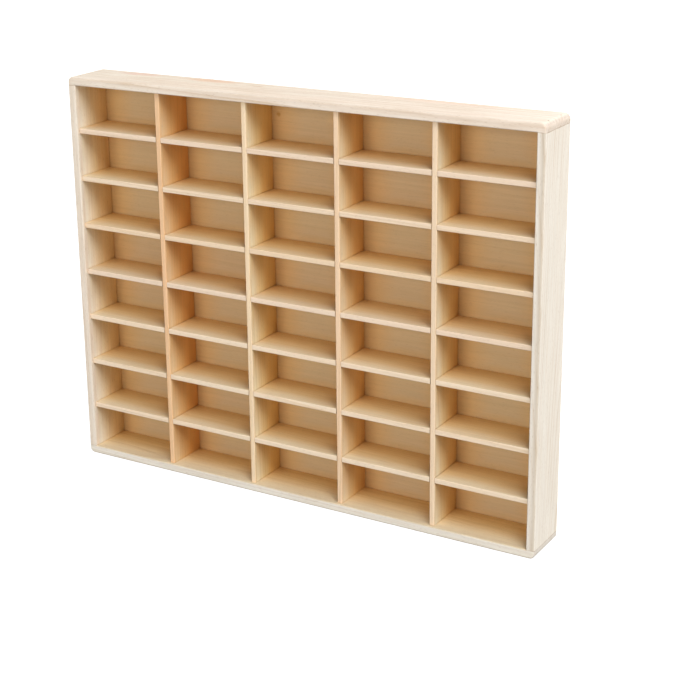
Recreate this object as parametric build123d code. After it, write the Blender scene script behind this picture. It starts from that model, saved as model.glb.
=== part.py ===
from build123d import *
import os

# An open-front compartment box of thin pine boards. All sizes are in millimetres.
# X runs along the width, Y from the open front to the back, Z upwards.
# The origin is the middle of the face that the box stands on.

# Overall size
WIDTH = 490.0
HEIGHT = 385.0
DEPTH = 50.0

# Frame of four boards
BOARD_THICKNESS = 8.0
CORNER_RADIUS = 5.0
OUTER_EASING = 1.6
INNER_EASING = 1.0

# Grid of uprights and shelves, halved over each other
COLUMNS = 5
ROWS = 8
DIVIDER_THICKNESS = 5.0
DIVIDER_EASING = 0.8
LARGEST_EASING_SHARE = 0.45
GRID_RECESS = 3.0
LAP_CLEARANCE = 0.25

# Back panel, let into a rebate in the rear of the frame
PANEL_THICKNESS = 3.0
PANEL_INSET = 0.5
PANEL_CLEARANCE = 0.3
REBATE_WIDTH = 4.0
REBATE_CORNER_RADIUS = 3.0

# Brads: flat wire nails with a T-shaped head and a chisel point, as a nail gun drives them
BRAD_WIDTH = 1.25
BRAD_THICKNESS = 1.0
BRAD_HEAD_WIDTH = 2.0
BRAD_HEAD_HEIGHT = 0.6
BRAD_POINT_LENGTH = 1.6
BRAD_CLEARANCE = 0.05

# Corner brads, from the top and bottom boards into the ends of the side boards
CORNER_BRAD_LENGTH = 25.0
CORNER_BRAD_SINK = 0.4
CORNER_BRAD_EDGE_DISTANCE = 12.0

# Panel brads, from behind through the panel into the frame boards
PANEL_BRAD_LENGTH = 12.0
PANEL_BRAD_CORNER_DISTANCE = 32.0
PANEL_BRADS_PER_LONG_BOARD = 6
PANEL_BRADS_PER_SIDE_BOARD = 4

# Sizes that follow from the ones above
front = -DEPTH / 2
rear = DEPTH / 2
opening_width = WIDTH - 2 * BOARD_THICKNESS
opening_height = HEIGHT - 2 * BOARD_THICKNESS
column_pitch = (opening_width + DIVIDER_THICKNESS) / COLUMNS
row_pitch = (opening_height + DIVIDER_THICKNESS) / ROWS
rebate_depth = PANEL_THICKNESS + PANEL_INSET
grid_front = front + GRID_RECESS
grid_rear = rear - rebate_depth
lap_plane = (grid_front + grid_rear) / 2
slot_width = DIVIDER_THICKNESS + 2 * LAP_CLEARANCE
divider_easing = min(DIVIDER_EASING, LARGEST_EASING_SHARE * DIVIDER_THICKNESS)

upright_places = [-opening_width / 2 - DIVIDER_THICKNESS / 2 + n * column_pitch for n in range(1, COLUMNS)]
shelf_places = [HEIGHT - BOARD_THICKNESS + DIVIDER_THICKNESS / 2 - n * row_pitch for n in range(1, ROWS)]


def block(x_low, x_high, y_low, y_high, z_low, z_high):
    """A square-cornered block between two corners."""
    centre = Pos((x_low + x_high) / 2, (y_low + y_high) / 2, (z_low + z_high) / 2)
    return centre * Box(x_high - x_low, y_high - y_low, z_high - z_low)


def rounded_slab(width, height, radius, y_low, y_high):
    """A slab in the plane of the box front, its four corners rounded, on the box's middle height."""
    outline = Plane.XZ * RectangleRounded(width, height, radius)
    slab = extrude(outline, amount=(y_high - y_low) / 2, both=True)
    return Pos(0, (y_low + y_high) / 2, HEIGHT / 2) * slab


def sanded_frame():
    """The glued-up frame as it leaves the sander, before it is told apart into its four boards."""
    corner_radius = min(CORNER_RADIUS, BOARD_THICKNESS)
    body = rounded_slab(WIDTH, HEIGHT, corner_radius, front, rear)
    outer_edges = body.faces().sort_by(Axis.Y)[0].edges() + body.faces().sort_by(Axis.Y)[-1].edges()
    body = fillet(outer_edges, OUTER_EASING)
    side = opening_width / 2
    body -= block(-side, side, front, rear, BOARD_THICKNESS, HEIGHT - BOARD_THICKNESS)
    inner_edges = body.faces().sort_by(Axis.Y)[0].inner_wires()[0].edges()
    body = fillet(inner_edges, INNER_EASING)
    rebate = rounded_slab(opening_width + 2 * REBATE_WIDTH, opening_height + 2 * REBATE_WIDTH,
                          REBATE_CORNER_RADIUS, rear - rebate_depth, rear)
    return body - rebate


def brad_shape(length, spare, rise):
    """A brad that points down from the origin, or its hole when spare and rise are given."""
    head = BRAD_HEAD_WIDTH / 2 + spare
    shank = BRAD_WIDTH / 2 + spare
    shoulder = -BRAD_HEAD_HEIGHT
    point = BRAD_POINT_LENGTH - length
    outline = Polyline(
        (-head, rise),
        (-head, shoulder),
        (-shank, shoulder),
        (-shank, point),
        (0, -length - spare),
        (shank, point),
        (shank, shoulder),
        (head, shoulder),
        (head, rise),
        close=True,
    )
    face = Plane.XZ * make_face(outline)
    return extrude(face, amount=BRAD_THICKNESS / 2 + spare, both=True)


def brad(length):
    """One brad, the top of its head at the origin and its point below."""
    return brad_shape(length, 0, 0)


def brad_hole(length, sink):
    """The hole that a brad fills, open above its head for the depth that the head is sunk."""
    return brad_shape(length, BRAD_CLEARANCE, sink)


def even_places(low, high, count):
    """Evenly spaced places from low to high, both ends included."""
    step = (high - low) / (count - 1)
    return [low + n * step for n in range(count)]


def corner_brad_locations():
    """Two brads through each end of the top and bottom boards, their heads along the side boards."""
    x_place = WIDTH / 2 - BOARD_THICKNESS / 2
    y_place = DEPTH / 2 - CORNER_BRAD_EDGE_DISTANCE
    places = []
    for x in (-x_place, x_place):
        for y in (-y_place, y_place):
            places.append(Location((x, y, HEIGHT - CORNER_BRAD_SINK), (0, 0, 90)))
            places.append(Location((x, y, CORNER_BRAD_SINK), (180, 0, 90)))
    return places


def panel_brad_locations():
    """A row of brads along each side of the panel, over the middle of the rebate's ledge."""
    x_ledge = opening_width / 2 + REBATE_WIDTH / 2
    z_ledge = opening_height / 2 + REBATE_WIDTH / 2
    x_end = opening_width / 2 - PANEL_BRAD_CORNER_DISTANCE
    z_end = opening_height / 2 - PANEL_BRAD_CORNER_DISTANCE
    places = []
    for x in even_places(-x_end, x_end, PANEL_BRADS_PER_LONG_BOARD):
        places.append((x, z_ledge, 0))
        places.append((x, -z_ledge, 0))
    for z in even_places(-z_end, z_end, PANEL_BRADS_PER_SIDE_BOARD):
        places.append((x_ledge, z, 90))
        places.append((-x_ledge, z, 90))
    return [Location((x, rear - PANEL_INSET, HEIGHT / 2 + z), (-90, 0, turn)) for x, z, turn in places]


def drilled(piece, holes):
    """The piece without the holes that reach into it."""
    for hole in holes:
        piece = piece - hole
    return piece


def frame_boards(holes):
    """Top and bottom boards over the whole width, with the two side boards standing between them."""
    frame = sanded_frame()
    half = WIDTH / 2
    upper = HEIGHT - BOARD_THICKNESS
    inner = half - BOARD_THICKNESS
    spaces = {
        "top_board": block(-half, half, front, rear, upper, HEIGHT),
        "bottom_board": block(-half, half, front, rear, 0, BOARD_THICKNESS),
        "left_side_board": block(-half, -inner, front, rear, BOARD_THICKNESS, upper),
        "right_side_board": block(inner, half, front, rear, BOARD_THICKNESS, upper),
    }
    return {name: drilled(frame & space, holes) for name, space in spaces.items()}


def back_panel(holes):
    """Thin panel that lies on the rebate's ledge and on the rear edges of the grid."""
    overlap = REBATE_WIDTH - PANEL_CLEARANCE
    panel = rounded_slab(opening_width + 2 * overlap, opening_height + 2 * overlap,
                         REBATE_CORNER_RADIUS - PANEL_CLEARANCE, grid_rear, rear - PANEL_INSET)
    return drilled(panel, holes)


def upright(x):
    """Full-height divider, whole at the front and slotted from behind for each shelf."""
    half = DIVIDER_THICKNESS / 2
    board = block(x - half, x + half, grid_front, grid_rear, BOARD_THICKNESS, HEIGHT - BOARD_THICKNESS)
    front_edges = board.faces().sort_by(Axis.Y)[0].edges().filter_by(Axis.Z)
    board = fillet(front_edges, divider_easing)
    for z in shelf_places:
        board -= block(x - half, x + half, lap_plane, grid_rear, z - slot_width / 2, z + slot_width / 2)
    return board


def shelf(z):
    """Full-width divider, slotted from the front where each upright passes."""
    half = DIVIDER_THICKNESS / 2
    side = opening_width / 2
    board = block(-side, side, grid_front, grid_rear, z - half, z + half)
    front_edges = board.faces().sort_by(Axis.Y)[0].edges().filter_by(Axis.X)
    board = fillet(front_edges, divider_easing)
    for x in upright_places:
        board -= block(x - slot_width / 2, x + slot_width / 2, grid_front, lap_plane, z - half, z + half)
    return board


corner_places = corner_brad_locations()
panel_places = panel_brad_locations()
corner_holes = [place * brad_hole(CORNER_BRAD_LENGTH, CORNER_BRAD_SINK) for place in corner_places]
panel_holes = [place * brad_hole(PANEL_BRAD_LENGTH, 0) for place in panel_places]

nodes = frame_boards(corner_holes + panel_holes)
nodes["back_panel"] = back_panel(panel_holes)
for number, x in enumerate(upright_places, start=1):
    nodes[f"upright_{number}"] = upright(x)
for number, z in enumerate(shelf_places, start=1):
    nodes[f"shelf_{number}"] = shelf(z)
nodes["corner_brads"] = Compound([place * brad(CORNER_BRAD_LENGTH) for place in corner_places])
nodes["back_panel_brads"] = Compound([place * brad(PANEL_BRAD_LENGTH) for place in panel_places])

os.makedirs("parts", exist_ok=True)
for name, piece in nodes.items():
    export_step(piece, f"parts/{name}.step")
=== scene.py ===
import math

import bmesh
import bpy
from mathutils import Matrix, Vector


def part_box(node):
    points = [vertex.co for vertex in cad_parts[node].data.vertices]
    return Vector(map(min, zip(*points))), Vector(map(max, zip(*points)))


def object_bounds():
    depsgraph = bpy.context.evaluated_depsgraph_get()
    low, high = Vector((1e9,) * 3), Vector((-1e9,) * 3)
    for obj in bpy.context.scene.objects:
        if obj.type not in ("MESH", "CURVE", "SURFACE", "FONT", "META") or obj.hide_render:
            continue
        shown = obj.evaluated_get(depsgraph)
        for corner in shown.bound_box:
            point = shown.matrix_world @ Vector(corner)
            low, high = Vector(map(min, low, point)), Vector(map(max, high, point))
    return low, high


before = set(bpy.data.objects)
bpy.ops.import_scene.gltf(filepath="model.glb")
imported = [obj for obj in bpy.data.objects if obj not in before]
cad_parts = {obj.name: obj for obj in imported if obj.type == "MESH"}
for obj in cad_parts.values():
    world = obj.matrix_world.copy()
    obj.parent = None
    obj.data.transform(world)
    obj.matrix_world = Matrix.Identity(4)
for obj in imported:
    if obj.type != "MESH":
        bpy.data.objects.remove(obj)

solid_low, solid_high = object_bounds()


# Side boards: two boards of planed pine, 8 mm thick, that stand between the top and the bottom board.
# The grain runs up the board. They are glued and bradded, and then the whole frame is sanded, which
# leaves the corners and arrises slightly round and the surface bare and matt.

def add(tree, kind, feeds=None, **settings):
    """Adds a node with its settings. Each feed is a value, or the output of another node."""
    node = tree.nodes.new(kind)
    for name, value in settings.items():
        setattr(node, name, value)
    for place, value in (feeds or {}).items():
        if isinstance(value, bpy.types.NodeSocket):
            tree.links.new(value, node.inputs[place])
        else:
            node.inputs[place].default_value = value
    return node


def reckon(tree, operation, *values):
    """A sum worked out on one or more values, as the output of a math node."""
    return add(tree, "ShaderNodeMath", dict(enumerate(values)), operation=operation).outputs[0]


def shifted(tree, operation, *vectors):
    """A place moved or scaled by other vectors, as the output of a vector math node."""
    return add(tree, "ShaderNodeVectorMath", dict(enumerate(vectors)), operation=operation).outputs[0]


def distance(tree, vector):
    """The length of a vector."""
    return add(tree, "ShaderNodeVectorMath", {0: vector}, operation="LENGTH").outputs["Value"]


def stretched(tree, place, along, across):
    """The place scaled along the grain and across it, so that a pattern is long and narrow."""
    return shifted(tree, "MULTIPLY", place, (along, across, across))


def mottle(tree, place, detail=2.0, roughness=0.5):
    """Soft irregular patches, about one to a unit of the place."""
    feeds = {"Vector": place, "Scale": 1.0, "Detail": detail, "Roughness": roughness}
    return add(tree, "ShaderNodeTexNoise", feeds).outputs[0]


def between(tree, value, low, high, out_low=0.0, out_high=1.0):
    """The value eased from one range into another, and held at its ends."""
    feeds = {"Value": value, "From Min": low, "From Max": high, "To Min": out_low, "To Max": out_high}
    return add(tree, "ShaderNodeMapRange", feeds, interpolation_type="SMOOTHSTEP").outputs[0]


def blended(tree, share, first, second, way="MIX"):
    """Two colours mixed by a share."""
    feeds = {0: share, 6: first, 7: second}
    return add(tree, "ShaderNodeMix", feeds, data_type="RGBA", blend_type=way).outputs[2]


def effect(name, takes, gives):
    """An empty shader node group, with the nodes that hold its inputs and outputs."""
    group = bpy.data.node_groups.new(name, "ShaderNodeTree")
    for title, kind, value in takes:
        socket = group.interface.new_socket(title, in_out="INPUT", socket_type="NodeSocket" + kind)
        if value is not None:
            socket.default_value = value
    for title, kind in gives:
        group.interface.new_socket(title, in_out="OUTPUT", socket_type="NodeSocket" + kind)
    return group, group.nodes.new("NodeGroupInput").outputs, group.nodes.new("NodeGroupOutput").inputs


def pine_figure_effect():
    """Growth rings round the tree's centre line, streaks, fibres, resin ducts and changes of tone."""
    tree, given, out = effect("pine_figure", [
        ("Place", "Vector", None),
        ("Ring width", "Float", 0.003),
        ("Taper", "Float", 0.02),
        ("Pale wood", "Color", (0.86, 0.74, 0.58, 1)),
        ("Ripe wood", "Color", (0.70, 0.48, 0.28, 1)),
        ("Blush", "Color", (0.84, 0.64, 0.48, 1)),
        ("Figure", "Float", 0.5),
        ("Streak", "Float", 1.0),
    ], [("Colour", "Color"), ("Height", "Float"), ("Roughness", "Float")])
    place = given["Place"]
    # The distance from the centre line gives the rings. It drifts a little, and the trunk tapers.
    run = add(tree, "ShaderNodeSeparateXYZ", {0: place}).outputs[0]
    radius = distance(tree, stretched(tree, place, 0.0, 1.0))
    radius = reckon(tree, "MULTIPLY_ADD", run, given["Taper"], radius)
    drift = reckon(tree, "SUBTRACT", mottle(tree, stretched(tree, place, 4.0, 15.0)), 0.5)
    radius = reckon(tree, "MULTIPLY_ADD", drift, 0.006, radius)
    rings = reckon(tree, "DIVIDE", radius, given["Ring width"])
    feeds = {"W": reckon(tree, "MULTIPLY", rings, 0.35), "Scale": 1.0, "Detail": 1.0}
    years = add(tree, "ShaderNodeTexNoise", feeds, noise_dimensions="1D").outputs[0]
    rings = reckon(tree, "MULTIPLY_ADD", years, 1.8, rings)
    # Each ring runs from pale early wood to darker late wood, bolder in some years than in others.
    season = add(tree, "ShaderNodeValToRGB", {0: reckon(tree, "FRACT", rings)})
    ramp = season.color_ramp
    ramp.elements[0].color = (0.5, 0.5, 0.5, 1)
    ramp.elements[1].color = (0.5, 0.5, 0.5, 1)
    for position, tone in ((0.09, 0.0), (0.5, 0.06), (0.8, 0.5), (0.92, 1.0)):
        ramp.elements.new(position).color = (tone, tone, tone, 1)
    feeds = {"W": reckon(tree, "FLOOR", rings)}
    year = add(tree, "ShaderNodeTexWhiteNoise", feeds, noise_dimensions="1D").outputs[0]
    bold = between(tree, mottle(tree, stretched(tree, place, 5.0, 30.0)), 0.36, 0.64, 0.4, 1.2)
    ripe = reckon(tree, "MULTIPLY", season.outputs[0], between(tree, year, 0.0, 1.0, 0.45, 1.0))
    ripe = reckon(tree, "MULTIPLY", ripe, bold)
    # Streaks, fibres and finer hairs run along the grain, over wide clouds of another tone.
    streak = reckon(tree, "SUBTRACT", mottle(tree, stretched(tree, place, 18.0, 190.0), 4.0, 0.68), 0.5)
    fibre = mottle(tree, stretched(tree, place, 9.0, 620.0), 4.0, 0.62)
    hair = mottle(tree, stretched(tree, place, 45.0, 3200.0), 2.0, 0.5)
    cloud = between(tree, mottle(tree, stretched(tree, place, 2.4, 17.0), 3.0, 0.55), 0.38, 0.68)
    share = reckon(tree, "MULTIPLY_ADD", reckon(tree, "SUBTRACT", fibre, 0.5), 0.9, ripe)
    share = reckon(tree, "MULTIPLY_ADD", streak, given["Streak"], share)
    share = reckon(tree, "MULTIPLY", reckon(tree, "ADD", share, 0.2), given["Figure"])
    share = add(tree, "ShaderNodeClamp", {"Value": share}).outputs[0]
    colour = blended(tree, reckon(tree, "MULTIPLY", cloud, 0.55), given["Pale wood"], given["Blush"])
    colour = blended(tree, share, colour, given["Ripe wood"])
    # Resin ducts are short brown dashes, sunk a little into the surface.
    feeds = {"Vector": stretched(tree, place, 130.0, 1300.0), "Scale": 1.0}
    duct = add(tree, "ShaderNodeTexVoronoi", feeds).outputs["Distance"]
    duct = between(tree, duct, 0.06, 0.25, 1.0, 0.0)
    colour = blended(tree, reckon(tree, "MULTIPLY", duct, 0.45), colour, (0.42, 0.26, 0.15, 1))
    tone = reckon(tree, "MULTIPLY_ADD", hair, 0.12, reckon(tree, "MULTIPLY_ADD", fibre, 0.24, 0.82))
    grey = add(tree, "ShaderNodeCombineColor", {0: tone, 1: tone, 2: tone}).outputs[0]
    tree.links.new(blended(tree, 1.0, colour, grey, "MULTIPLY"), out["Colour"])
    height = reckon(tree, "MULTIPLY_ADD", fibre, 0.7, reckon(tree, "MULTIPLY", ripe, 0.5))
    height = reckon(tree, "MULTIPLY_ADD", hair, 0.35, height)
    tree.links.new(reckon(tree, "MULTIPLY_ADD", duct, -0.6, height), out["Height"])
    dull = reckon(tree, "MULTIPLY_ADD", fibre, 0.12, 0.56)
    tree.links.new(reckon(tree, "MULTIPLY_ADD", ripe, -0.08, dull), out["Roughness"])
    return tree


def end_grain_effect():
    """Darkens the sawn ends, where the open fibres drink more light, and roughens them."""
    tree, given, out = effect("end_grain", [
        ("Colour", "Color", (0.8, 0.7, 0.5, 1)),
        ("Roughness", "Float", 0.6),
        ("Place", "Vector", None),
        ("Along grain", "Float", 0.0),
    ], [("Colour", "Color"), ("Roughness", "Float")])
    end = between(tree, reckon(tree, "ABSOLUTE", given["Along grain"]), 0.45, 0.85)
    pore = between(tree, mottle(tree, stretched(tree, given["Place"], 0.0, 2400.0), 1.0), 0.35, 0.7)
    cut = blended(tree, pore, (0.90, 0.90, 0.91, 1), (0.80, 0.78, 0.77, 1))
    tree.links.new(blended(tree, end, given["Colour"], cut, "MULTIPLY"), out["Colour"])
    tree.links.new(reckon(tree, "MULTIPLY_ADD", end, 0.14, given["Roughness"]), out["Roughness"])
    return tree


def sanded_arris_and_highlight_effect():
    """A lighter, cleaner line along the edges, partly where the sander and hands have rubbed them and
    partly a painted highlight.
    """
    tree, given, out = effect("sanded_arris_and_highlight", [
        ("Colour", "Color", (0.8, 0.7, 0.5, 1)),
        ("Reach", "Float", 0.0008),
        ("Strength", "Float", 0.12),
        ("Place", "Vector", None),
    ], [("Colour", "Color"), ("Normal", "Vector")])
    rounded = add(tree, "ShaderNodeBevel", {"Radius": given["Reach"]}, samples=6).outputs[0]
    true = add(tree, "ShaderNodeNewGeometry").outputs["Normal"]
    turn = add(tree, "ShaderNodeVectorMath", {0: rounded, 1: true}, operation="DOT_PRODUCT")
    edge = between(tree, turn.outputs["Value"], 0.90, 0.999, 1.0, 0.0)
    patchy = mottle(tree, stretched(tree, given["Place"], 60.0, 400.0), 3.0)
    edge = reckon(tree, "MULTIPLY", edge, between(tree, patchy, 0.3, 0.65, 0.35, 1.0))
    edge = reckon(tree, "MULTIPLY", edge, given["Strength"])
    tree.links.new(blended(tree, edge, given["Colour"], (0.93, 0.83, 0.68, 1)), out["Colour"])
    tree.links.new(rounded, out["Normal"])
    return tree


def corner_dust_and_shade_effect():
    """A brown tinge in the tight corners and joints, partly glue and dust left behind and partly painted
    shade where little open air reaches.
    """
    tree, given, out = effect("corner_dust_and_shade", [
        ("Colour", "Color", (0.8, 0.7, 0.5, 1)),
        ("Reach", "Float", 0.003),
        ("Strength", "Float", 0.5),
    ], [("Colour", "Color")])
    open_air = add(tree, "ShaderNodeAmbientOcclusion", {"Distance": given["Reach"]}, samples=6)
    tight = between(tree, open_air.outputs["AO"], 0.3, 0.85, 1.0, 0.0)
    tight = reckon(tree, "MULTIPLY", tight, given["Strength"])
    tree.links.new(blended(tree, tight, given["Colour"], (0.66, 0.50, 0.34, 1), "MULTIPLY"), out["Colour"])
    return tree


def dark_spot_effect():
    """A knot, a resin streak or another small place of darker wood with a soft, uneven rim."""
    tree, given, out = effect("dark_spot", [
        ("Colour", "Color", (0.8, 0.7, 0.5, 1)),
        ("Spot", "Vector", None),
        ("Centre", "Vector", (0.0, 0.0, 0.0)),
        ("Half size", "Vector", (0.003, 0.003, 0.003)),
        ("Tone", "Color", (0.7, 0.5, 0.35, 1)),
    ], [("Colour", "Color")])
    away = shifted(tree, "SUBTRACT", given["Spot"], given["Centre"])
    away = shifted(tree, "DIVIDE", away, given["Half size"])
    rim = mottle(tree, shifted(tree, "MULTIPLY", away, (1.6, 1.6, 1.6)))
    rim = reckon(tree, "MULTIPLY_ADD", rim, 0.8, -0.4)
    inside = between(tree, reckon(tree, "ADD", distance(tree, away), rim), 0.3, 1.0, 1.0, 0.0)
    tree.links.new(blended(tree, inside, given["Colour"], given["Tone"], "MULTIPLY"), out["Colour"])
    return tree


pine_figure = pine_figure_effect()
end_grain = end_grain_effect()
sanded_arris_and_highlight = sanded_arris_and_highlight_effect()
corner_dust_and_shade = corner_dust_and_shade_effect()
dark_spot = dark_spot_effect()


def pine(name, grain, heart, sawn_from, wood, arris=0.0004, spots=(), finish_and_shade=None, tone_changes=None):
    """Bare sanded pine. Heart is where the tree's centre line passes the board, in metres.

    A spot is a centre, a half size and a tone. Tone changes are what the finish and its painted light and
    shade get besides their own tones.
    """
    material = bpy.data.materials.new(name)
    material.use_nodes = True
    tree = material.node_tree
    shader = tree.nodes["Principled BSDF"]
    spot = add(tree, "ShaderNodeTexCoord").outputs["Object"]
    facing = add(tree, "ShaderNodeNewGeometry").outputs["Normal"]
    along = add(tree, "ShaderNodeSeparateXYZ", {0: facing}).outputs["XYZ".index(grain)]
    turn = (0, math.pi / 2, 0) if grain == "Z" else (0, 0, 0)
    shift = (sawn_from, -heart[1], heart[0]) if grain == "Z" else (sawn_from, -heart[0], -heart[1])
    feeds = {"Vector": spot, "Rotation": turn, "Location": shift}
    place = add(tree, "ShaderNodeMapping", feeds).outputs[0]
    figured = add(tree, "ShaderNodeGroup", {"Place": place} | wood, node_tree=pine_figure).outputs
    feeds = {"Colour": figured["Colour"], "Roughness": figured["Roughness"], "Place": place,
             "Along grain": along}
    ended = add(tree, "ShaderNodeGroup", feeds, node_tree=end_grain).outputs
    colour = ended["Colour"]
    if finish_and_shade:
        feeds = {"Colour": colour, "Spot": spot, "Facing": facing} | (tone_changes or {})
        colour = add(tree, "ShaderNodeGroup", feeds, node_tree=finish_and_shade).outputs[0]
    for centre, half_size, tone in spots:
        feeds = {"Colour": colour, "Spot": spot, "Tone": (*tone, 1)}
        feeds |= {"Centre": centre, "Half size": half_size}
        colour = add(tree, "ShaderNodeGroup", feeds, node_tree=dark_spot).outputs[0]
    # A lighter line along the edges: sanding wear and a painted highlight, with the rounded normal.
    eased = add(tree, "ShaderNodeGroup", {"Colour": colour, "Reach": arris, "Place": place},
                node_tree=sanded_arris_and_highlight).outputs
    # Glue, dust and painted shade darken the tight corners.
    colour = add(tree, "ShaderNodeGroup", {"Colour": eased["Colour"]}, node_tree=corner_dust_and_shade).outputs[0]
    tree.links.new(colour, shader.inputs["Base Color"])
    tree.links.new(ended["Roughness"], shader.inputs["Roughness"])
    feeds = {"Height": figured["Height"], "Normal": eased["Normal"], "Distance": 0.00012, "Strength": 0.6}
    tree.links.new(add(tree, "ShaderNodeBump", feeds).outputs[0], shader.inputs["Normal"])
    shader.inputs["IOR"].default_value = 1.45
    shader.inputs["Specular IOR Level"].default_value = 0.4
    return material


def pine_tones(pale, ripe, blush, figure, streak, ring_width, taper):
    """The colours and the figure of one kind of board."""
    return {"Pale wood": (*pale, 1), "Ripe wood": (*ripe, 1), "Blush": (*blush, 1), "Figure": figure,
            "Streak": streak, "Ring width": ring_width, "Taper": taper}


def dress(node, material):
    """Gives a CAD piece its material."""
    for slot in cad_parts[node].material_slots:
        slot.material = material


# Lengths are in metres. A pair says where a tone starts to change, and where it has changed.
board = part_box("top_board")[1].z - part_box("top_board")[0].z
frame_arris = 0.0008
inner_fade = 0.0014
grey_rim_reach = (0.002, 0.006)
glue_line = (0.0001, 0.0004)
# Painted light and painted shade inside a compartment fade in and out between these depths.
painted_light_starts = (0.0035, 0.007)
painted_light_ends = (0.022, 0.032)
painted_shade_depth = 0.036
middle_height = (solid_low.z + solid_high.z) / 2
mouth = solid_low.y
shelf_low, shelf_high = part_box("shelf_1")
first_shelf = (shelf_low.z + shelf_high.z) / 2
row_pitch = shelf_low.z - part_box("shelf_2")[0].z


def along_compartment(tree, place, first, pitch):
    """How far along its compartment a place lies, from 0 to 1."""
    return reckon(tree, "FRACT", reckon(tree, "DIVIDE", reckon(tree, "SUBTRACT", place, first), pitch))


def painted_light_share(tree, inward):
    """The part of a compartment's walls, just inside its mouth, that gets painted light and painted shade.
    """
    reached = between(tree, inward, *painted_light_ends, 1.0, 0.0)
    return reckon(tree, "MULTIPLY", between(tree, inward, *painted_light_starts), reached)


def frame_finish_and_shade_effect():
    """Rounded arrises dulled by painted shade, a greyer front rim, inner faces browned with depth by
    painted shade, painted light low in each compartment and painted shade under the shelf above, and glue
    lines.
    """
    tree, given, out = effect("frame_finish_and_shade", [
        ("Colour", "Color", (0.8, 0.7, 0.5, 1)),
        ("Spot", "Vector", None),
        ("Facing", "Vector", None),
        ("Rim tone", "Color", (0.96, 0.94, 0.92, 1)),
        ("Mouth tone", "Color", (0.98, 0.99, 0.98, 1)),
        ("Deep tone", "Color", (1.03, 0.85, 0.51, 1)),
        ("Lit tone", "Color", (1.0, 1.05, 1.10, 1)),
        ("Shaded tone", "Color", (0.96, 0.92, 0.81, 1)),
    ], [("Colour", "Color")])
    spot = add(tree, "ShaderNodeSeparateXYZ", {0: given["Spot"]}).outputs
    facing = add(tree, "ShaderNodeSeparateXYZ", {0: given["Facing"]}).outputs
    beside = reckon(tree, "SUBTRACT", solid_high.x, reckon(tree, "ABSOLUTE", spot[0]))
    height = reckon(tree, "ABSOLUTE", reckon(tree, "SUBTRACT", spot[2], middle_height))
    beyond = reckon(tree, "SUBTRACT", solid_high.z - middle_height, height)
    depth = reckon(tree, "MINIMUM", beside, beyond)
    inner = between(tree, depth, board - inner_fade, board)
    # Inner faces get painted shade that browns them with depth. Near the mouth they get painted light low
    # in each compartment and painted shade under the shelf above.
    inward = between(tree, spot[1], mouth, mouth + painted_shade_depth)
    warm = blended(tree, inward, given["Mouth tone"], given["Deep tone"])
    upward = between(tree, along_compartment(tree, spot[2], first_shelf, row_pitch), 0.05, 0.85)
    painted_light_and_shade = blended(tree, upward, given["Lit tone"], given["Shaded tone"])
    reached = painted_light_share(tree, reckon(tree, "SUBTRACT", spot[1], mouth))
    warm = blended(tree, reached, warm, painted_light_and_shade, "MULTIPLY")
    colour = blended(tree, inner, given["Colour"], warm, "MULTIPLY")
    # A face that looks along none of the three directions is a rounded arris. It gets painted shade, which
    # dulls the highlight that the light puts on it.
    flat = shifted(tree, "ABSOLUTE", given["Facing"])
    flat = add(tree, "ShaderNodeSeparateXYZ", {0: flat}).outputs
    flat = reckon(tree, "MAXIMUM", flat[0], reckon(tree, "MAXIMUM", flat[1], flat[2]))
    eased = between(tree, flat, 0.74, 0.97, 1.0, 0.0)
    colour = blended(tree, eased, colour, (0.91, 0.91, 0.93, 1), "MULTIPLY")
    front = between(tree, facing[1], -0.9, -0.5, 1.0, 0.0)
    rim = reckon(tree, "MULTIPLY", front, between(tree, depth, *grey_rim_reach, 1.0, 0.0))
    colour = blended(tree, rim, colour, given["Rim tone"], "MULTIPLY")
    # The glue line lies where the side boards meet the top and bottom boards.
    seam = reckon(tree, "ABSOLUTE", reckon(tree, "SUBTRACT", beyond, board))
    seam = between(tree, seam, *glue_line, 1.0, 0.0)
    seam = reckon(tree, "MULTIPLY", seam, reckon(tree, "LESS_THAN", beside, board - 0.0002))
    worn = mottle(tree, shifted(tree, "MULTIPLY", given["Spot"], (200.0, 200.0, 200.0)))
    seam = reckon(tree, "MULTIPLY", seam, between(tree, worn, 0.3, 0.6, 0.3, 0.9))
    tree.links.new(blended(tree, seam, colour, (0.62, 0.50, 0.38, 1), "MULTIPLY"), out["Colour"])
    return tree


frame_finish_and_shade = frame_finish_and_shade_effect()
creamy = ((0.88, 0.79, 0.67), (0.71, 0.55, 0.40), (0.88, 0.735, 0.625))
whitish = ((0.87, 0.81, 0.715), (0.70, 0.585, 0.455), (0.87, 0.79, 0.695))
left_wood = pine_tones(*creamy, figure=0.65, streak=2.0, ring_width=0.0031, taper=0.020)
dress("left_side_board", pine("left_side_pine", "Z", heart=(-0.285, 0.012), sawn_from=0.4,
                              wood=left_wood, arris=frame_arris, finish_and_shade=frame_finish_and_shade))
right_wood = pine_tones(*whitish, figure=0.8, streak=1.1, ring_width=0.0030, taper=0.045)
right_tone_changes = {"Rim tone": (0.84, 0.80, 0.75, 1)}
dress("right_side_board", pine("right_side_pine", "Z", heart=(0.206, 0.030), sawn_from=0.1,
                               wood=right_wood, arris=frame_arris, finish_and_shade=frame_finish_and_shade,
                               tone_changes=right_tone_changes))


# Top and bottom boards: two boards of the same planed pine over the whole width, laid on the ends of
# the side boards and bradded down into them. Their grain runs along them, so their ends show end grain
# at the corners. The top board has pinkish bands near its rear edge, and a short streak of resin.

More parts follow.
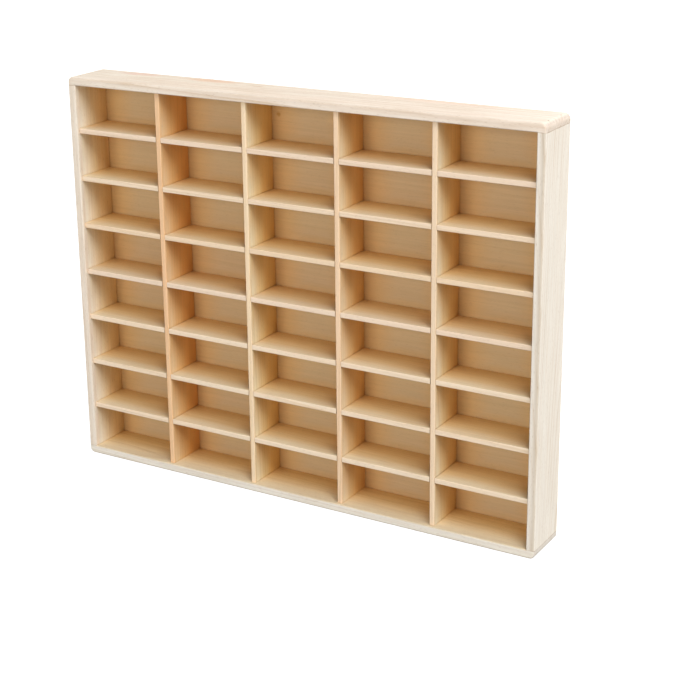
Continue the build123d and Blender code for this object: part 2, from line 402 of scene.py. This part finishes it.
top = solid_high.z
top_marks = (
    ((-0.055, 0.0120, top), (0.012, 0.0018, 0.006), (0.78, 0.66, 0.50)),
    ((-0.108, 0.0170, top), (0.040, 0.0090, 0.010), (0.99, 0.83, 0.74)),
    ((-0.190, 0.0170, top), (0.032, 0.0085, 0.010), (0.98, 0.84, 0.82)),
    ((0.130, 0.0180, top), (0.095, 0.0075, 0.010), (1.0, 0.92, 0.88)),
)
top_wood = pine_tones(*creamy, figure=0.7, streak=2.6, ring_width=0.0034, taper=0.012)
dress("top_board", pine("top_pine", "X", heart=(0.030, 0.352), sawn_from=0.2,
                        wood=top_wood, arris=frame_arris, spots=top_marks, finish_and_shade=frame_finish_and_shade))
bottom_wood = pine_tones(*whitish, figure=0.6, streak=2.0, ring_width=0.0032, taper=0.016)
# The bottom board's inner face gets painted shade that browns it with depth, and no painted light or shade
# from the shelves.
bottom_tone_changes = {
    "Rim tone": (1.01, 1.02, 1.0, 1),
    "Mouth tone": (0.90, 0.82, 0.65, 1),
    "Deep tone": (0.98, 0.73, 0.36, 1),
    "Lit tone": (1.0, 1.0, 1.0, 1),
    "Shaded tone": (1.0, 1.0, 1.0, 1),
}
dress("bottom_board", pine("bottom_pine", "X", heart=(-0.018, -0.040), sawn_from=0.9,
                           wood=bottom_wood, arris=frame_arris, finish_and_shade=frame_finish_and_shade,
                           tone_changes=bottom_tone_changes))


# Uprights: four thin pine boards, 5 mm thick, over the whole height between the top and bottom boards.
# Each has a slot from behind for every shelf, and its front edge is sanded slightly round.

upright_low, upright_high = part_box("upright_1")
first_upright = (upright_low.x + upright_high.x) / 2
column_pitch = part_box("upright_2")[0].x - upright_low.x
# Where the painted light at the front and the painted shade deeper in begin.
painted_light_front = (0.004, 0.020)
painted_shade_starts = 0.010


def divider_finish_and_shade_effect():
    """A paler front edge, partly fresh wood and partly painted light, and faces with painted light near
    the mouth, painted shade with depth, and painted light and shade from the neighbours.
    """
    tree, given, out = effect("divider_finish_and_shade", [
        ("Colour", "Color", (0.8, 0.7, 0.5, 1)),
        ("Spot", "Vector", None),
        ("Facing", "Vector", None),
        ("Middle tone", "Color", (1, 1, 1, 1)),
        ("Deep tone", "Color", (1.09, 0.98, 0.72, 1)),
        ("Lies flat", "Float", 0.0),
        ("Lit tone", "Color", (1.0, 1.13, 1.30, 1)),
        ("Shaded tone", "Color", (0.93, 0.84, 0.70, 1)),
    ], [("Colour", "Color")])
    spot = add(tree, "ShaderNodeSeparateXYZ", {0: given["Spot"]}).outputs
    inward = reckon(tree, "SUBTRACT", spot[1], mouth)
    # Painted light near the mouth, and painted shade deeper in.
    near = blended(tree, between(tree, inward, *painted_light_front), (1.02, 1.16, 1.48, 1), given["Middle tone"])
    painted_shade = between(tree, inward, painted_shade_starts, painted_shade_depth)
    deep = blended(tree, painted_shade, (1, 1, 1, 1), given["Deep tone"])
    colour = blended(tree, 1.0, blended(tree, 1.0, given["Colour"], near, "MULTIPLY"), deep, "MULTIPLY")
    # Painted shade where a neighbour shades a face: an upright under the shelf above, and a shelf beside
    # the upright to its right, with painted light on the rest.
    upward = between(tree, along_compartment(tree, spot[2], first_shelf, row_pitch), 0.05, 0.85)
    across = between(tree, along_compartment(tree, spot[0], first_upright, column_pitch), 0.30, 0.85)
    across = reckon(tree, "SUBTRACT", across, upward)
    away = reckon(tree, "MULTIPLY_ADD", across, given["Lies flat"], upward)
    painted_light_and_shade = blended(tree, away, given["Lit tone"], given["Shaded tone"])
    colour = blended(tree, painted_light_share(tree, inward), colour, painted_light_and_shade, "MULTIPLY")
    facing = add(tree, "ShaderNodeSeparateXYZ", {0: given["Facing"]}).outputs
    # Faces that look to the front are paler, partly as fresh sanded wood and partly as painted light.
    fresh_and_lit_front = between(tree, facing[1], -0.8, -0.25, 1.0, 0.0)
    tree.links.new(blended(tree, fresh_and_lit_front, colour, (1.11, 1.08, 1.15, 1), "MULTIPLY"), out["Colour"])
    return tree


divider_finish_and_shade = divider_finish_and_shade_effect()
upright_tones = (
    ((0.78, 0.465, 0.200), (0.63, 0.32, 0.10), (0.78, 0.42, 0.19)),
    ((0.82, 0.600, 0.300), (0.67, 0.42, 0.16), (0.81, 0.55, 0.28)),
    ((0.79, 0.535, 0.260), (0.64, 0.37, 0.14), (0.78, 0.49, 0.25)),
    ((0.79, 0.565, 0.295), (0.65, 0.40, 0.17), (0.78, 0.52, 0.28)),
)
upright_hearts = ((-0.175, 0.02), (-0.020, -0.03), (0.075, 0.04), (0.120, -0.02))
for number, (tones, heart) in enumerate(zip(upright_tones, upright_hearts), start=1):
    wood = pine_tones(*tones, figure=0.5, streak=1.0, ring_width=0.0028, taper=0.018)
    dress(f"upright_{number}", pine(f"upright_{number}_pine", "Z", heart, sawn_from=0.31 * number,
                                    wood=wood, finish_and_shade=divider_finish_and_shade))


# Shelves: seven thin pine boards, 5 mm thick, over the whole width between the side boards. Each has a
# slot from the front for every upright, so that the grid locks together without glue showing.

shelf_tones = (
    ((0.76, 0.560, 0.320), (0.63, 0.41, 0.19), (0.76, 0.530, 0.290)),
    ((0.78, 0.580, 0.320), (0.64, 0.41, 0.18), (0.78, 0.545, 0.295)),
    ((0.77, 0.560, 0.295), (0.63, 0.39, 0.16), (0.77, 0.525, 0.270)),
)
tone_of_shelf = (0, 1, 2, 0, 1, 1, 1)
# The shelves get painted light at the front, painted shade with depth, and painted shade beside the
# upright to their right.
shelf_tone_changes = {
    "Middle tone": (0.94, 0.93, 0.93, 1),
    "Deep tone": (1.14, 1.06, 0.85, 1),
    "Lies flat": 1.0,
    "Lit tone": (1.02, 1.04, 1.06, 1),
    "Shaded tone": (0.92, 0.87, 0.80, 1),
}
for number, chosen in enumerate(tone_of_shelf, start=1):
    low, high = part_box(f"shelf_{number}")
    heart = (0.035 * math.sin(2.3 * number), (low.z + high.z) / 2 - 0.022 - 0.006 * math.cos(1.7 * number))
    wood = pine_tones(*shelf_tones[chosen], figure=0.5, streak=1.0, ring_width=0.0027, taper=0.014)
    dress(f"shelf_{number}", pine(f"shelf_{number}_pine", "X", heart, sawn_from=0.27 * number,
                                  wood=wood, finish_and_shade=divider_finish_and_shade, tone_changes=shelf_tone_changes))


# Back panel: thin light plywood let into a rebate behind the grid, nailed from behind. One small knot
# shows in the top row, in the middle compartment. Its rear stays paler than its inside, which has painted
# shade and bounced light beside the uprights and over the shelves.

beside_upright = (0.010, 0.040)
over_shelf = (0.003, 0.012)


def panel_finish_and_shade_effect():
    """A pale veneered rear face, and an inside with painted shade and bounced light, browner beside the
    uprights and over the shelves.
    """
    tree, given, out = effect("panel_finish_and_shade", [
        ("Colour", "Color", (0.8, 0.7, 0.5, 1)),
        ("Spot", "Vector", None),
        ("Facing", "Vector", None),
    ], [("Colour", "Color")])
    spot = add(tree, "ShaderNodeSeparateXYZ", {0: given["Spot"]}).outputs
    facing = add(tree, "ShaderNodeSeparateXYZ", {0: given["Facing"]}).outputs
    # Painted shade and bounced light make the inside browner beside the uprights and over the shelves.
    aside = reckon(tree, "PINGPONG", reckon(tree, "SUBTRACT", spot[0], first_upright), column_pitch / 2)
    above = reckon(tree, "PINGPONG", reckon(tree, "SUBTRACT", spot[2], first_shelf), row_pitch / 2)
    painted_shade = between(tree, aside, *beside_upright, 1.0, 0.0)
    painted_shade = reckon(tree, "MAXIMUM", painted_shade, between(tree, above, *over_shelf, 0.6, 0.0))
    inside = blended(tree, painted_shade, given["Colour"], (1.05, 0.91, 0.70, 1), "MULTIPLY")
    streak = between(tree, mottle(tree, stretched(tree, given["Spot"], 2.2, 110.0), 4.0, 0.66), 0.40, 0.76)
    veneer = blended(tree, streak, (1.25, 1.41, 1.92, 1), (1.17, 1.24, 1.54, 1))
    rear = blended(tree, 1.0, given["Colour"], veneer, "MULTIPLY")
    tree.links.new(blended(tree, between(tree, facing[1], 0.2, 0.8), inside, rear), out["Colour"])
    return tree


panel_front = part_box("back_panel")[0].y
knots = (((-0.038, panel_front, 0.359), (0.0032, 0.004, 0.0030), (0.80, 0.68, 0.46)),)
panel_tones = ((0.645, 0.475, 0.258), (0.55, 0.37, 0.18), (0.635, 0.440, 0.245))
panel_wood = pine_tones(*panel_tones, figure=0.3, streak=1.0, ring_width=0.0060, taper=0.030)
dress("back_panel", pine("back_panel_wood", "X", heart=(0.045, 0.19), sawn_from=0.7,
                         wood=panel_wood, spots=knots, finish_and_shade=panel_finish_and_shade_effect()))


# Brads: flat steel wire nails with a small T head and a chisel point, each driven into a hole of its own.
# The long ones hold the corners of the frame, and the short ones hold the back panel in its rebate.

brad_steel = bpy.data.materials.new("brad_steel")
brad_steel.use_nodes = True
steel = brad_steel.node_tree
steel_shader = steel.nodes["Principled BSDF"]
spot = add(steel, "ShaderNodeTexCoord").outputs["Object"]
drawn = mottle(steel, stretched(steel, spot, 900.0, 2500.0), 3.0, 0.6)
colour = blended(steel, drawn, (0.44, 0.43, 0.41, 1), (0.66, 0.65, 0.62, 1))
steel.links.new(colour, steel_shader.inputs["Base Color"])
steel.links.new(between(steel, drawn, 0.2, 0.8, 0.55, 0.3), steel_shader.inputs["Roughness"])
steel_shader.inputs["Metallic"].default_value = 1.0
dress("corner_brads", brad_steel)
dress("back_panel_brads", brad_steel)


# The studio: a plain pale floor, a large soft light above to the front right, a weaker one overhead and
# one towards each side, which fill the shadows in the compartments and light the rear and the ends for
# the other views. The camera stands a little above the box and to its right.

floor_reach = 40.0
paper_white = 0.88
dim_air = 0.02
floor_mesh = bpy.data.meshes.new("studio_floor")
sheet = bmesh.new()
bmesh.ops.create_grid(sheet, x_segments=1, y_segments=1, size=floor_reach)
sheet.to_mesh(floor_mesh)
sheet.free()
studio_floor = bpy.data.objects.new("studio_floor", floor_mesh)
bpy.context.scene.collection.objects.link(studio_floor)
floor_paint = bpy.data.materials.new("floor_paint")
floor_paint.use_nodes = True
paint = floor_paint.node_tree
paint.nodes.clear()
matt = add(paint, "ShaderNodeBsdfDiffuse", {"Color": (0.35, 0.35, 0.35, 1)}).outputs[0]
glow = add(paint, "ShaderNodeEmission", {"Color": (1, 1, 1, 1), "Strength": paper_white}).outputs[0]
lifted = add(paint, "ShaderNodeAddShader", {0: matt, 1: glow}).outputs[0]
seen = add(paint, "ShaderNodeLightPath").outputs["Is Camera Ray"]
shown = add(paint, "ShaderNodeMixShader", {0: seen, 1: matt, 2: lifted}).outputs[0]
add(paint, "ShaderNodeOutputMaterial", {"Surface": shown})
floor_mesh.materials.append(floor_paint)

air = bpy.data.worlds.new("studio_air")
bpy.context.scene.world = air
air.use_nodes = True
sky = air.node_tree
sky.nodes.clear()
seen = add(sky, "ShaderNodeLightPath").outputs["Is Camera Ray"]
strength = reckon(sky, "MULTIPLY_ADD", seen, paper_white - dim_air, dim_air)
light = add(sky, "ShaderNodeBackground", {"Color": (1, 1, 1, 1), "Strength": strength}).outputs[0]
add(sky, "ShaderNodeOutputWorld", {"Surface": light})

box_middle = Vector((0, 0, middle_height))


def soft_lamp(name, direction, away, size, watts):
    """A round soft light that stands in the given direction from the box and looks at it."""
    lamp = bpy.data.lights.new(name, "AREA")
    lamp.shape = "DISK"
    lamp.size = size
    lamp.energy = watts
    stand = bpy.data.objects.new(name, lamp)
    stand.location = box_middle + Vector(direction).normalized() * away
    stand.rotation_euler = Vector(direction).to_track_quat("Z", "Y").to_euler()
    bpy.context.scene.collection.objects.link(stand)


soft_lamp("soft_key", (0.47, -0.43, 0.77), away=5.8, size=3.4, watts=260.0)
soft_lamp("overhead", (0.10, 0.25, 0.96), away=5.8, size=3.4, watts=52.0)
soft_lamp("rear_fill", (-0.15, 0.98, 0.15), away=5.8, size=2.1, watts=182.0)
soft_lamp("left_fill", (-0.96, 0.22, 0.15), away=5.8, size=2.1, watts=175.0)
soft_lamp("rear_right_fill", (0.75, 0.35, 0.55), away=6.4, size=3.7, watts=161.0)
soft_lamp("side_fill", (0.95, -0.25, 0.20), away=6.4, size=3.2, watts=97.0)
soft_lamp("front_fill", (-0.10, -0.98, 0.18), away=5.8, size=2.9, watts=145.0)

camera_lens = bpy.data.cameras.new("camera")
camera_lens.lens = 83.3
camera_lens.sensor_width = 36.0
camera_lens.shift_x = 0.0714
camera_lens.shift_y = -0.0714
camera_lens.clip_start = 0.05
camera_lens.clip_end = 100.0
camera = bpy.data.objects.new("camera", camera_lens)
camera.location = (0.7486, -1.2074, 0.6488)
camera_turn = 31.98
camera_dip = 17.79
camera_roll = -1.06
aim = Matrix.Rotation(math.radians(camera_turn), 3, "Z")
aim = aim @ Matrix.Rotation(math.radians(90 - camera_dip), 3, "X")
camera.rotation_euler = (aim @ Matrix.Rotation(math.radians(camera_roll), 3, "Z")).to_euler()
bpy.context.scene.collection.objects.link(camera)
bpy.context.scene.camera = camera
bpy.context.scene.view_settings.view_transform = "Standard"
